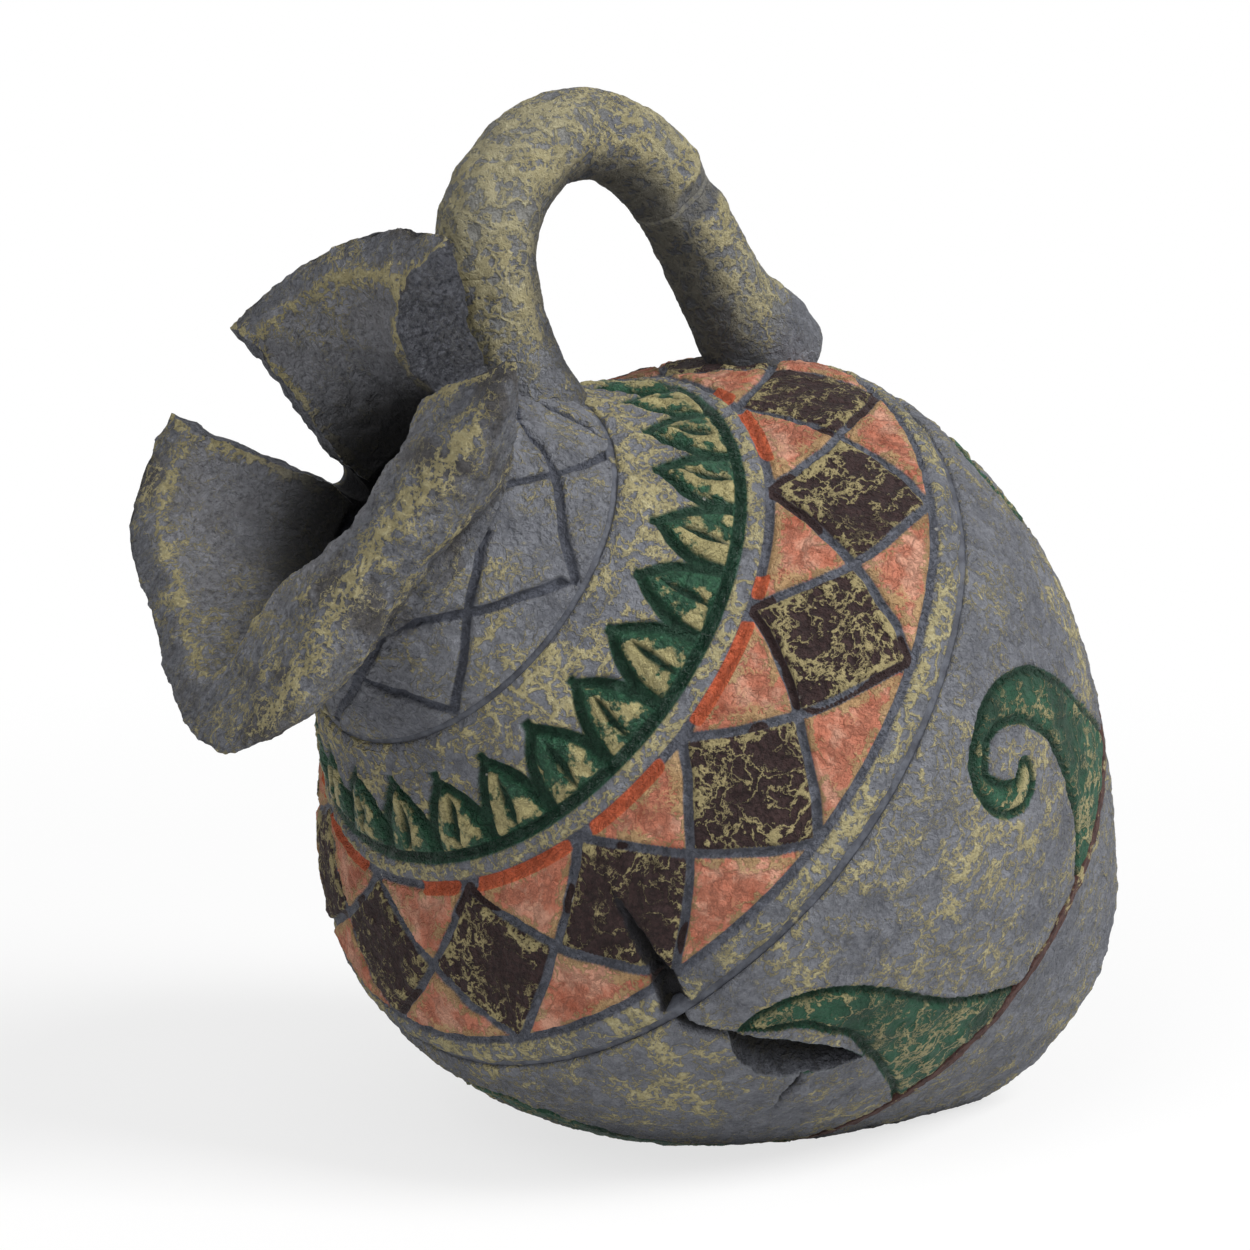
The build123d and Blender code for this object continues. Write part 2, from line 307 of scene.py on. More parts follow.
def wall_tree(name, carve, dip_at, chunk_at):
    """One turned ring of wall: outside, top edge, inside and bottom edge in one closed sheet."""
    tree, given = start_tree(name, {
        "Profile": "Object", "Low": "Float", "High": "Float", "Inset": "Float", "Wall": "Float",
        "Wobble": "Float", "Lumps": "Float", "Relief": "Float", "Columns": "Int", "Outside Rows": "Int",
        "Edge Rows": "Int", "Inside Rows": "Int", "Floor Rows": "Int", "Material": "Material"})
    low = given["Low"]
    out_rows, edge_rows = given["Outside Rows"], given["Edge Rows"]
    in_rows, floor_rows = given["Inside Rows"], given["Floor Rows"]
    rows = out_rows + edge_rows + in_rows + floor_rows
    sheet = flat_sheet(given["Columns"], rows)
    spot = low.position()
    turn = spot.part("X") * (2 * math.pi)
    angle = spot.part("X") * 360.0
    row = ((spot.part("Y") + 0.5) * rows).maths("ROUND", (spot.part("Y") + 0.5) * rows)
    climb = (row / out_rows).clamp() - ((row - out_rows - edge_rows) / in_rows).clamp()
    depth = ((row - out_rows) / edge_rows).clamp()
    depth = depth - ((row - out_rows - edge_rows - in_rows) / floor_rows).clamp()
    skin = depth.step(0.01, 0.0)
    dip = dip_at(angle) if dip_at else 0.0
    run = low + (given["High"] - dip - low) * climb

    lane = low.node("GeometryNodeObjectInfo", {}, {"Object": given["Profile"]}, "Geometry")

    def on_profile(distance):
        return low.node("GeometryNodeSampleCurve", {"mode": "LENGTH", "data_type": "FLOAT"},
                        {"Curves": lane, "Length": distance - float(lengths[0])}, "Position")

    across, along = turn.maths("COSINE", turn), turn.maths("SINE", turn)
    true = on_profile(run)
    girth = true.part("X")
    place = low.point(girth * across, girth * along, true.part("Z"))
    drawn = run + (place.noise(0.035, 1.0) - 0.5) * 2 * given["Wobble"]
    hand = on_profile(drawn)
    way = hand.also("Tangent")
    cut, marks = carve(angle, run, girth, place)
    relief = hand_relief(place)
    lumps = (place.noise(0.03, 1.0) - 0.4) * given["Lumps"] + (MEAN_RELIEF - relief) * given["Relief"]
    slump = (angle / SLUMP_ANGLE).bell() * ((run - SLUMP_RUN) / SLUMP_SPREAD).bell() * SLUMP_DEPTH
    sink = given["Inset"] + depth * given["Wall"] + skin * (lumps + cut) + slump
    radius = hand.part("X") - sink * way.part("Z")
    level = hand.part("Z") + sink * way.part("X")

    sheet = keep(sheet, **marks, relief=relief, within=depth)
    sheet = moved(sheet, low.point(radius * across, radius * along, level))
    sheet = smoothed(welded(sheet))
    if chunk_at:
        sheet = break_out(sheet, chunk_at(low))
    sheet = stand_up(sheet)
    spot = low.position()
    worn_down = low.point(
        spot.part("X").least(FARTHEST),
        spot.part("Y").least(WIDEST).most(-WIDEST),
        spot.part("Z").most(0.0))
    sheet = moved(sheet, worn_down)
    close_tree(tree, sheet, given["Material"])
    return tree


def grow(name, tree, sizes):
    piece = bpy.data.objects.new(name, bpy.data.meshes.new(name))
    bpy.context.scene.collection.objects.link(piece)
    shaping = piece.modifiers.new("shaping", "NODES")
    shaping.node_group = tree
    for item in tree.interface.items_tree:
        if item.in_out == "INPUT":
            shaping[item.identifier] = sizes[item.name]
    settled = bpy.context.evaluated_depsgraph_get()
    ready = piece.evaluated_get(settled)
    mesh = bpy.data.meshes.new_from_object(ready, preserve_all_data_layers=True, depsgraph=settled)
    mesh.name = name
    piece.modifiers.clear()
    piece.data = mesh
    return piece


def wall_piece(node, slot, material, carve, low, high, columns, rows, dip_at=None, chunk_at=None, **changes):
    sizes = {
        "Profile": profile, "Low": low, "High": high, "Inset": 0.0, "Wall": WALL, "Wobble": 0.35,
        "Lumps": 0.5, "Relief": 1.7, "Columns": columns, "Outside Rows": rows, "Edge Rows": 3,
        "Inside Rows": 14, "Floor Rows": 3, "Material": material}
    sizes.update(changes)
    piece = grow(node + "_skin", wall_tree(node + " wall", carve, dip_at, chunk_at), sizes)
    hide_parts(node)
    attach(piece, "root")


def tone(colour):
    """Screen colour, 0 to 255, as the shader's own linear colour."""
    linear = [((v / 255 + 0.055) / 1.055) ** 2.4 if v > 10 else v / 255 / 12.92 for v in colour]
    return (*linear, 1.0)


def mix(low, high, share):
    low = low if isinstance(low, Strand) else tone(low)
    high = high if isinstance(high, Strand) else tone(high)
    return share.node("ShaderNodeMix", {"data_type": "RGBA"}, {0: share, 6: low, 7: high}, 2)


def mark(place, name):
    return place.node("ShaderNodeAttribute", {"attribute_name": name}, {}, "Fac")


def start_material(name):
    material = bpy.data.materials.new(name)
    material.use_nodes = True
    material.node_tree.nodes.clear()
    place = Strand(material.node_tree.nodes.new("ShaderNodeTexCoord").outputs["Object"])
    return material, place


def close_material(place, colour, roughness, height, relief):
    bump = place.node("ShaderNodeBump", {}, {"Strength": 1.0, "Distance": relief, "Height": height})
    shader = place.node("ShaderNodeBsdfPrincipled", {}, {
        "Base Color": colour, "Roughness": roughness, "Normal": bump, "Specular IOR Level": 0.35})
    place.node("ShaderNodeOutputMaterial", {}, {"Surface": shader})


class DryBrush:
    """Ochre dragged over the ridges with a dry brush; a larger load leaves more behind."""

    def __init__(self, place, fine):
        first = abs(place.noise(130.0 * fine, 6.0, 0.62, 0.2) - 0.5)
        second = abs(place.noise(230.0 * fine, 6.0, 0.62, 0.2) - 0.5)
        self.threads = first.least(second)
        self.grain = place.noise(1300.0, 4.0, 0.65)
        self.patch = place.noise(55.0, 3.0, 0.6)
        self.relief = mark(place, "relief")

    def stroke(self, load):
        reach = load + (self.patch - 0.5) * 0.10 + (self.relief - 0.5) * 0.06 + (self.grain - 0.5) * 0.04
        return (reach - self.threads).step(-0.004, 0.022)


def brushed_clay(place, load, fine=1.0):
    """Grey clay under the dry brush: its brush, colour, ochre mask and height."""
    brush = DryBrush(place, fine)
    within = mark(place, "within")
    worn = brush.stroke(load) * (1 - within)
    clay = mix(DARK_SLATE, SLATE, (brush.grain * 0.5 + brush.patch * 0.5).step(0.35, 0.6))
    # Painted shade: the clay is darkened where the brush threads lie low, in the recesses between the
    # ridges.
    clay = mix(clay, RECESS_SHADE, brush.threads.step(0.05, 0.18) * 0.45)
    powder = mix(OCHRE, PALE_OCHRE, brush.grain.step(0.45, 0.7))
    height = worn * 0.12 + brush.grain * 0.35 - brush.threads * 3.2
    # Painted shade: the inside faces of the walls, marked by within, are darkened nearly to black; no ochre
    # lies there.
    return brush, mix(mix(clay, powder, worn * 0.86), INSIDE_SHADE, within * 0.8), worn, height


def plain_cut(angle, run, girth, place):
    return 0.0, {}


base_clay, place = start_material("base clay")
brush, colour, worn, height = brushed_clay(place, 0.012)
close_material(place, colour, DRY - worn * RUBBED, height, CLAY_BUMP)
wall_piece("base_cup", "body_clay", base_clay, plain_cut, float(lengths[0]), run_at(CUP_TOP), 480, 110,
           **{"Floor Rows": 0})


# ---------------------------------------------------------------- brown line
# A thin line of rough red-brown slip, laid in the groove where the cup meets the belly.
# It is dry and crumbly, and ochre has caught on it here and there.
BROWN, DARK_BROWN = (80, 55, 50), (52, 34, 32)
LINE_LOW, LINE_HIGH, LINE_PROUD = -42.0, -40.0, 0.25
brown_slip, place = start_material("brown slip")
crumbs = place.noise(900.0, 4.0, 0.7)
caught = (place.noise(400.0, 5.0, 0.7) + place.noise(60.0, 1.0) * 0.3).step(0.72, 0.8)
colour = mix(mix(DARK_BROWN, BROWN, crumbs.step(0.35, 0.6)), OCHRE, caught * 0.8)
close_material(place, colour, 0.9 - caught * 0.1, crumbs, 0.0008)


def crumbly(angle, run, girth, place):
    return place.noise(0.7, 3.0, 0.6) * 0.5, {}


wall_piece("foot_slip", "brown_slip", brown_slip, crumbly, run_at(LINE_LOW), run_at(LINE_HIGH), 480, 8,
           **{"Inset": -LINE_PROUD, "Wall": WALL + LINE_PROUD, "Relief": 1.0, "Inside Rows": 3})


# ---------------------------------------------------------------- belly barrel
# The widest ring of the thrown body. Seven running scrolls stand on the brown line, cut as
# twin grooves and filled with green; a knock broke a hole and cracks into its near side.
BARREL_LOW, BARREL_HIGH = -40.2, 9.9
GREEN, DARK_GREEN = (30, 80, 56), (12, 46, 31)
SHARD, PALE_SHARD, DEEP_SHADE = (64, 66, 73), (96, 98, 105), (12, 12, 13)
SCORE_DEPTH, EDGE_DEPTH, CRACK_DEPTH = 0.85, 0.5, 3.4
SCROLL_COUNT, SCROLL_ANGLE = 7, 69.0
SCROLL = [
    (-52.0, 69.0, 18.0), (-43.0, 69.0, 13.6), (-36.0, 69.1, 10.8), (-29.0, 69.2, 8.4),
    (-22.5, 69.3, 6.7), (-13.5, 69.6, 4.9), (-7.3, 71.3, 4.5), (-3.3, 73.6, 3.8),
    (-0.5, 76.8, 3.1), (0.6, 80.3, 2.3), (-0.1, 84.2, 1.8), (-2.6, 86.6, 1.8),
    (-6.7, 87.0, 2.5), (-10.3, 85.6, 2.8), (-12.1, 82.6, 2.7), (-11.0, 80.9, 2.2),
]
RUBBED_ANGLE, RUBBED_RUN, RUBBED_RADIUS = 139.0, -6.0, 9.5
CRACK_ANGLE = 135.0
CRACK = [
    (31.0, 134.3, 0.4), (24.0, 135.0, 1.3), (18.0, 135.6, 1.9), (12.0, 137.3, 2.5), (9.2, 138.2, 1.1),
    (5.0, 136.4, 0.8), (-0.5, 134.2, 0.9), (-8.5, 134.0, 0.4), (-14.0, 134.5, 0.4), (-16.0, 137.5, 1.0),
    (-19.5, 144.5, 0.3),
]
HOLE_LEVEL, HOLE_ANGLE, HOLE_HALF, HOLE_SKEW = -8.6, 131.4, 11.0, 0.36
HOLE_GAPE, HOLE_BEVEL = 2.3, 4.6


def chart_line(name, stations, middle, steps):
    """A drawn line on the unrolled wall: run, angle and half-width of each station."""
    flat = [(math.radians(a - middle) * girth_at(run), run) for run, a, w in stations]
    line = smooth_line(flat, steps)
    spread = np.interp(np.arange(len(line)) / steps, np.arange(len(stations)), [w for r, a, w in stations])
    return helper_curve(name, [(x, y, 0.0) for x, y in line], [float(w) for w in spread])


def line_depth(place, holder, spot):
    """How far a spot lies inside a drawn line; negative outside it."""
    path = place.node("GeometryNodeObjectInfo", {}, {"Object": holder}, "Geometry")
    path = keep(path, width=place.node("GeometryNodeInputRadius", {}, {}))
    path = place.node("GeometryNodeCurveToMesh", {}, {"Curve": path})
    nearest = place.node("GeometryNodeSampleNearest", {"domain": "POINT"},
                         {"Geometry": path, "Sample Position": spot})
    here = place.position()
    there = place.node("GeometryNodeSampleIndex", {"data_type": "FLOAT_VECTOR", "domain": "POINT"},
                       {"Geometry": path, "Value": here, "Index": nearest})
    named = place.node("GeometryNodeInputNamedAttribute", {"data_type": "FLOAT"}, {"Name": "width"})
    half = place.node("GeometryNodeSampleIndex", {"data_type": "FLOAT", "domain": "POINT"},
                      {"Geometry": path, "Value": named, "Index": nearest})
    gap = place.node("ShaderNodeVectorMath", {"operation": "DISTANCE"}, {0: spot, 1: there}, "Value")
    return half - gap


scroll_line = chart_line("scroll_line", SCROLL, SCROLL_ANGLE, 24)
crack_line = chart_line("crack_line", CRACK, CRACK_ANGLE, 16)


def cracked(angle, run, girth, place):
    """How far a spot lies inside the crack, which runs over two pieces, and how deep it is cut."""
    wide = ((-angle - CRACK_ANGLE).wrap(180.0)) * (math.pi / 180) * girth
    jolt = (place.noise(0.35, 3.0, 0.6) - 0.5) * 1.6
    crack = line_depth(place, crack_line, place.point(wide + jolt, run + jolt, 0.0))
    return crack, crack.step(-0.2, 1.7) * CRACK_DEPTH


def scroll_cut(angle, run, girth, place):
    shake = (place.noise(0.12, 2.0) - 0.5) * 1.1
    near = (-angle - SCROLL_ANGLE - 3.0).wrap(180.0 / SCROLL_COUNT) + 3.0
    wide = near * (math.pi / 180) * girth + shake
    scroll = line_depth(place, scroll_line, place.point(wide, run + shake, 0.0))
    worn_x = (-angle - RUBBED_ANGLE).wrap(180.0) * (math.pi / 180) * girth
    worn_y = run - RUBBED_RUN
    missing = ((worn_x * worn_x + worn_y * worn_y) ** 0.5 - RUBBED_RADIUS) * 2
    scroll = scroll.least(missing)
    line = abs(scroll - 0.7).step(0.95, 0.25)
    crack, gouge = cracked(angle, run, girth, place)
    edge = (run - run_at(BARREL_HIGH)).step(-1.5, 0.0)
    edge = edge.most((run_at(BARREL_LOW) - run).step(-1.2, 0.0) * 0.6)
    cut = line * SCORE_DEPTH + gouge + edge * EDGE_DEPTH
    return cut, {"scroll": scroll, "line": line, "crack": crack}


def lens_chunk(place):
    """The lost sherd of the belly: long and narrow, its lower side bevelled inwards."""
    block = place.node("GeometryNodeMeshCube", {}, {
        "Size": (1.0, 1.0, 1.0), "Vertices X": 50, "Vertices Y": 18, "Vertices Z": 34})
    spot = place.position()
    far = spot.part("X") * 2
    along = far * HOLE_HALF
    depth = spot.part("Z") * 14.0 - 3.0
    rough = (spot.noise(6.0, 5.0, 0.7) - 0.5) * 2.4
    half = (1.0 - far * far).most(0.0) * HOLE_GAPE + 0.05
    bevel = ((depth + 5.0) / 5.0).clamp() * (1.0 - far * far) * HOLE_BEVEL
    aside = (spot.part("Y") * 2) * half + (spot.part("Y") + 0.5) * bevel
    aside = aside + rough * (1.0 - abs(far)) + along * HOLE_SKEW
    turn = math.radians(HOLE_ANGLE)
    run = run_at(HOLE_LEVEL)
    girth, lean_in = girth_at(run), (girth_at(run + 1) - girth_at(run - 1)) / 2
    rise = math.sqrt(1 - lean_in * lean_in)
    out = girth + along * lean_in + depth * rise
    level = HOLE_LEVEL + along * rise - depth * lean_in
    block = keep(block, deep=depth.step(-0.8, -3.8))
    seat = place.point(
        out * math.cos(turn) - aside * math.sin(turn),
        -out * math.sin(turn) - aside * math.cos(turn), level)
    block = moved(block, seat)
    return smoothed(keep(block, broken=1.0, relief=0.5, scroll=-5.0, within=0.0))


belly_clay, place = start_material("belly clay")
brush, colour, worn, height = brushed_clay(place, 0.018)
scroll, line, crack = mark(place, "scroll"), mark(place, "line"), mark(place, "crack")
leafy = mix(DARK_GREEN, GREEN, brush.patch.step(0.3, 0.6))
leafy = mix(leafy, OCHRE, brush.stroke(0.018) * (1 - line) * 0.9)
leafy = mix(leafy, DARK_GREEN, line * 0.75)
inside = scroll.step(-0.25, 0.05)
colour = mix(colour, leafy, inside)
shard = mix(SHARD, PALE_SHARD, brush.grain.step(0.35, 0.65))
# Painted shade: the break faces go nearly black deep inside the hole and along the floor of the crack.
shard = mix(shard, DEEP_SHADE, mark(place, "deep").most(crack.step(0.1, 0.7)))
lost = crack.step(0.0, 0.6).most(mark(place, "broken"))
colour = mix(colour, shard, lost * 0.95)
rough = (DRY - worn * RUBBED) - inside * (0.25 + line * 0.2)
close_material(place, colour, rough, height, CLAY_BUMP)
wall_piece("belly_barrel", "body_clay", belly_clay, scroll_cut, run_at(BARREL_LOW), run_at(BARREL_HIGH),
           700, 116, chunk_at=lens_chunk)


# ---------------------------------------------------------------- belly joint
# Grey slip pressed into the turned groove where the shoulder was joined to the belly.
SLIP, PALE_SLIP = (58, 60, 68), (82, 85, 93)
BELLY_JOINT, SLIP_HALF, SLIP_INSET = 10.7, 0.8, 0.85
groove_slip, place = start_material("groove slip")
streak = place.noise(500.0, 4.0, 0.65)
dusty = (place.noise(260.0, 6.0, 0.7) + place.noise(50.0, 1.0) * 0.3).step(0.76, 0.86)
colour = mix(mix(SLIP, PALE_SLIP, streak.step(0.35, 0.65)), OCHRE, dusty * 0.7)
close_material(place, colour, 0.66 + dusty * 0.2, streak, 0.0004)


def pressed(angle, run, girth, place):
    return place.noise(0.4, 2.0) * 0.2, {}


def slip_ring(node, level):
    low, high = run_at(level - SLIP_HALF), run_at(level + SLIP_HALF)
    wall_piece(node, "groove_slip", groove_slip, pressed, low, high, 480, 6,
               **{"Inset": SLIP_INSET, "Wall": WALL - SLIP_INSET, "Relief": 0.2, "Inside Rows": 3})


slip_ring("belly_slip", BELLY_JOINT)


# ---------------------------------------------------------------- shoulder dome
# The sloping shoulder, scored while leather-hard: two rings with a band of lozenges between,
# then a ring of pointed leaves. Slip colours were brushed in and rubbed back over the ridges.
DOME_LOW, DOME_HIGH = 11.3, 51.2
BAND_LOW, BAND_HIGH = run_at(15.7), run_at(33.5)
LEAF_RING = run_at(36.7)
LEAF_COUNT, LEAF_ANGLE, LEAF_LENGTH = 23, 127.5, 11.8
LEAF_POWER, RIB_MIDDLE, RIB_HALF = 2.7, 0.40, 0.36
LOZENGE_COUNT, LOZENGE_ANGLE = 13, 106.5
UMBER, DARK_UMBER, RUBBED_UMBER = (58, 41, 40), (40, 26, 26), (48, 31, 31)
SALMON, PALE_SALMON, RED_SALMON, ORANGE = (186, 116, 92), (206, 152, 128), (166, 90, 66), (190, 92, 58)
SCORED, PALE_SCORED, GLINT_WHITE = (82, 85, 95), (100, 103, 113), (222, 218, 208)
LEAF_GREEN, DARK_LEAF = (42, 88, 62), (22, 64, 44)
SOFT_OCHRE, LEAF_OCHRE, SALMON_OCHRE = (170, 157, 112), (166, 156, 110), (168, 148, 102)
CRACK_SIDE, CRACK_FLOOR_SHADE = (54, 53, 58), (16, 15, 17)


def ring(run, at, half):
    return abs(run - at).step(half, half * 0.3)


def shoulder_cut(angle, run, girth, place):
    shake = (place.noise(0.06, 2.0) - 0.5)
    sway = (place.noise(0.05, 2.0, 0.5, 0.3) - 0.5)
    tall = BAND_HIGH - BAND_LOW
    period = 360.0 / LOZENGE_COUNT
    pitch = period * math.pi / 180 * girth
    x = abs(((-angle - LOZENGE_ANGLE) / period + sway * 0.12).wrap(0.5))
    y = (BAND_HIGH - run) / tall + shake * 0.10
    steep = tall / pitch
    lean = tall / (steep * steep + 1) ** 0.5
    upper, lower = (y - x) * lean, (1 - x - y) * lean
    lozenge = upper.least(lower)
    band = (run - BAND_LOW).least(BAND_HIGH - run)
    cross = abs(upper).least(abs(lower)).step(1.05, 0.3) * band.step(-0.3, 0.3)
    rings = ring(run, BAND_LOW, 1.05).most(ring(run, BAND_HIGH, 1.05)).most(ring(run, LEAF_RING, 1.2))
    whim = place.noise(0.045, 0.0)
    orange = ring(run, BAND_HIGH - 0.4, 1.5) * x.step(0.05, 0.14) * whim.step(0.46, 0.5)
    umber = cross * lozenge.step(-0.9, -0.2) * place.noise(0.06, 0.0, 0.5, 1.0).step(0.52, 0.56)

    cell = 360.0 / LEAF_COUNT
    half = cell / 2 * math.pi / 180 * girth
    lx = (((-angle - LEAF_ANGLE) / cell) + sway * 0.2).wrap(0.5) * 2 * half
    ly = run - LEAF_RING
    share = (ly / LEAF_LENGTH + shake * 0.2).clamp()
    leaf = ((half + 0.1) * (1 - share ** LEAF_POWER) - abs(lx)) * 0.84
    leaf = leaf.least(ly + 0.4)
    leaf = leaf.least((LEAF_LENGTH + 0.2 - ly) * 0.9)
    rim = abs(leaf - 0.15).step(1.15, 0.35) * ly.step(-1.0, 0.0)
    rib_span = (ly - RIB_MIDDLE * LEAF_LENGTH) / (RIB_HALF * LEAF_LENGTH)
    rib = (0.75 * (1 - rib_span * rib_span) - abs(lx + sway * 1.2 + (share - 0.4) * 1.6))
    slit = rib.step(-0.2, 0.4)
    pillow = leaf.step(0.5, 2.6)

    crack, gouge = cracked(angle, run, girth, place)
    edge = (run_at(DOME_LOW) - run).step(-1.2, 0.0).most((run - run_at(DOME_HIGH)).step(-1.2, 0.0))
    groove = cross.most(rings)
    cut = groove * SCORE_DEPTH + rim * SCORE_DEPTH * (1 - groove) + slit * 0.7 - pillow * 0.55
    cut = cut + edge * EDGE_DEPTH + gouge
    return cut, {"lozenge": lozenge, "band": band, "groove": groove, "leaf": leaf, "rim": rim, "slit": slit,
                 "ringed": ring(run, LEAF_RING, 1.4), "crack": crack, "orange": orange, "umber": umber,
                 "flank": lx / half}


shoulder_clay, place = start_material("shoulder clay")
brush, colour, worn, height = brushed_clay(place, 0.030)
lozenge, band, groove = mark(place, "lozenge"), mark(place, "band"), mark(place, "groove")
leaf, rim, slit, flank = (mark(place, name) for name in ("leaf", "rim", "slit", "flank"))
ringed, crack = mark(place, "ringed"), mark(place, "crack")
fleck = brush.stroke(0.016 + lozenge.step(3.2, 0.8) * 0.020)
brown = mix(mix(DARK_UMBER, UMBER, brush.grain.step(0.4, 0.6)), SOFT_OCHRE, fleck * 0.85)
streaky = place.noise(200.0, 5.0, 0.65)
salmon = mix(mix(SALMON, PALE_SALMON, streaky.step(0.46, 0.62)), RED_SALMON, streaky.step(0.44, 0.3))
border = lozenge.step(-3.2, -0.8).most(band.step(3.0, 0.8))
salmon = mix(salmon, SALMON_OCHRE, brush.stroke(border * 0.045 + 0.004) * 0.7)
painted = mix(salmon, brown, lozenge.step(-0.1, 0.1))
colour = mix(colour, painted, band.step(0.0, 0.4))
score = mix(SCORED, PALE_SCORED, brush.grain.step(0.35, 0.65))
colour = mix(colour, score, groove.step(0.25, 0.7) * (1 - ringed))
colour = mix(colour, ORANGE, mark(place, "orange").step(0.3, 0.6))
colour = mix(colour, RUBBED_UMBER, mark(place, "umber").step(0.3, 0.6))
cover = (place.noise(230.0, 5.0, 0.65) + flank * 0.07 + leaf.step(0.8, 2.6) * 0.1).step(0.53, 0.61)
leafy = mix(DARK_LEAF, LEAF_GREEN, brush.grain.step(0.4, 0.65))
leafy = mix(leafy, LEAF_OCHRE, cover * leaf.step(0.8, 1.2))
leafy = mix(leafy, DARK_GREEN, slit.most(rim * 0.85))
green = leaf.step(-0.9, -0.4).most(ringed.step(0.2, 0.6))
colour = mix(colour, leafy, green)
colour = mix(colour, mix(GREEN, DARK_GREEN, ringed), ringed.step(0.3, 0.7))
# Painted highlight: near-white glints laid as specks along the scored lines and the leaf outlines.
colour = mix(colour, GLINT_WHITE, place.noise(260.0, 1.0).step(0.76, 0.78) * rim.most(groove) * 0.9)
# Painted shade: the crack darkens from its broken sides to near black at its floor.
colour = mix(colour, mix(CRACK_SIDE, CRACK_FLOOR_SHADE, crack.step(0.3, 1.3)), crack.step(0.0, 0.5) * 0.95)
rough = (DRY - worn * RUBBED) - groove * 0.25 - green * 0.35
close_material(place, colour, rough, height, CLAY_BUMP)
wall_piece("shoulder_dome", "body_clay", shoulder_clay, shoulder_cut, run_at(DOME_LOW), run_at(DOME_HIGH),
           740, 112)


# ---------------------------------------------------------------- neck joint
# The same grey slip, in the groove where the collar sits on the shoulder.
NECK_JOINT = 51.6
slip_ring("neck_slip", NECK_JOINT)


# ---------------------------------------------------------------- neck collar
# A short tapering ring between the joint and the throat, scored with a net of large lozenges
# in single strokes of a point and left unpainted.
COLLAR_LOW, NET_LOW, THROAT = 52.0, 52.4, 66.0
NET_COUNT, NET_ANGLE, NET_STRIDE, NET_BOW = 7, 142.0, 60.0, 1.75
HASTY_ANGLE, HASTY_SPREAD = -61.0, 21.0
NOTCH_ANGLE, NOTCH_FOOT, NOTCH_SLOPE, NOTCH_HALF = 75.0, 59.8, 0.315, 5.6
BARE_SHADED_NET_LINE, CLEFT_SHADE = (78, 81, 91), (26, 26, 29)


def net_cut(angle, run, girth, place):
    low, high = run_at(NET_LOW), run_at(THROAT)
    sway = place.noise(0.06, 2.0) - 0.5
    stride = (-angle - NET_ANGLE) / (360.0 / NET_COUNT) + sway * 0.15
    x = stride.maths("WRAP", stride, 1.0, 0.0)
    y = (run - low) / (high - low) + (place.noise(0.09, 1.0) - 0.5) * 0.1
    reach = 360.0 / NET_COUNT / NET_STRIDE
    hasty = ((angle - HASTY_ANGLE) / HASTY_SPREAD).bell()
    rising = 1.066 * (1 - (1 - x * reach) ** NET_BOW) - (angle - HASTY_ANGLE) * 0.022 * hasty
    falling = 1.066 * (1 - (1 - (1 - x) * reach) ** NET_BOW) * (1 - hasty * 0.3)
    net = (abs(y - rising) * (x * 3.8 + 10.3)).least(abs(y - falling) * (14.2 - x * 4))
    line = net.step(1.0, 0.25)
    edge = (low - run).step(-1.2, 0.0)
    cleft = ((angle - NOTCH_ANGLE).wrap(180.0) / 9.0).bell(4.0) * run.step(run_at(57.5), run_at(60.0))
    return line * SCORE_DEPTH + edge * EDGE_DEPTH, {"line": line, "cleft": cleft}


def notch_dip(angle):
    """How far the broken V of the mouth runs down into the collar."""
    aside = abs((angle - NOTCH_ANGLE).wrap(180.0) / NOTCH_HALF)
    return (THROAT - NOTCH_FOOT - aside ** 3.0 * 5.5).most(0.0)


collar_clay, place = start_material("collar clay")
brush, colour, worn, height = brushed_clay(place, 0.010)
line = mark(place, "line")
# The scored net lines take a darker grey: bare of ochre, and darkened as painted shade in the grooves.
colour = mix(colour, BARE_SHADED_NET_LINE, line.step(0.2, 0.7))
# Painted shade: the inner wall under the broken V of the mouth is darkened nearly to black.
colour = mix(colour, CLEFT_SHADE, mark(place, "cleft") * mark(place, "within").step(0.0, 0.2))
close_material(place, colour, DRY - worn * RUBBED - line * 0.25, height, CLAY_BUMP)
wall_piece("neck_collar", "body_clay", collar_clay, net_cut, run_at(COLLAR_LOW), run_at(THROAT),
           640, 60, notch_dip)


# ---------------------------------------------------------------- pinched mouth
# The flaring mouth, pulled into a spout and rolled thickly inwards along its near side while
# soft. Two pieces of its lip are broken out, which leaves rough dark faces.
RIM = 83.0
LIP_OUTSIDE = [
    (0, 35.3), (20, 35.5), (40, 37.0), (62, 40.5), (76, 36.0), (90, 30.5), (107, 27.0), (121, 27.0),
    (132, 30.0), (141, 36.5), (149, 42.3), (156, 46.0), (163, 47.0), (171, 45.5), (181, 42.0), (190, 38.7),
    (198, 36.6), (208, 34.6), (219, 34.0), (231, 35.3), (243, 37.3), (259, 37.5), (273, 37.0), (292, 36.0),
    (315, 35.0), (340, 34.8), (360, 35.3),
]
LIP_INSIDE = [
    (0, 28.2), (20, 27.0), (40, 26.0), (56, 24.0), (64, 21.5), (75, 19.5), (93, 18.0), (121, 18.0),
    (140, 18.5), (150, 19.5), (160, 21.0), (167, 24.0), (172, 29.0), (177, 34.0), (184, 34.5), (190, 32.5),
    (198, 31.0), (208, 29.0), (219, 28.2), (231, 29.3), (243, 31.2), (259, 31.5), (273, 31.0), (298, 29.7),
    (335, 28.6), (360, 28.2),
]
LARGEST = 60.0
ROLL_ANGLE, ROLL_SPREAD = -112.0, 50.0
SPOUT_ANGLE, SPOUT_SPREAD = -161.0, 40.0
THICK_ANGLE, THICK_SPREAD = -15.0, 35.0
CREASE_ANGLE, CREASE_SPREAD, CREASE_SHARE = -113.0, 30.0, 0.28
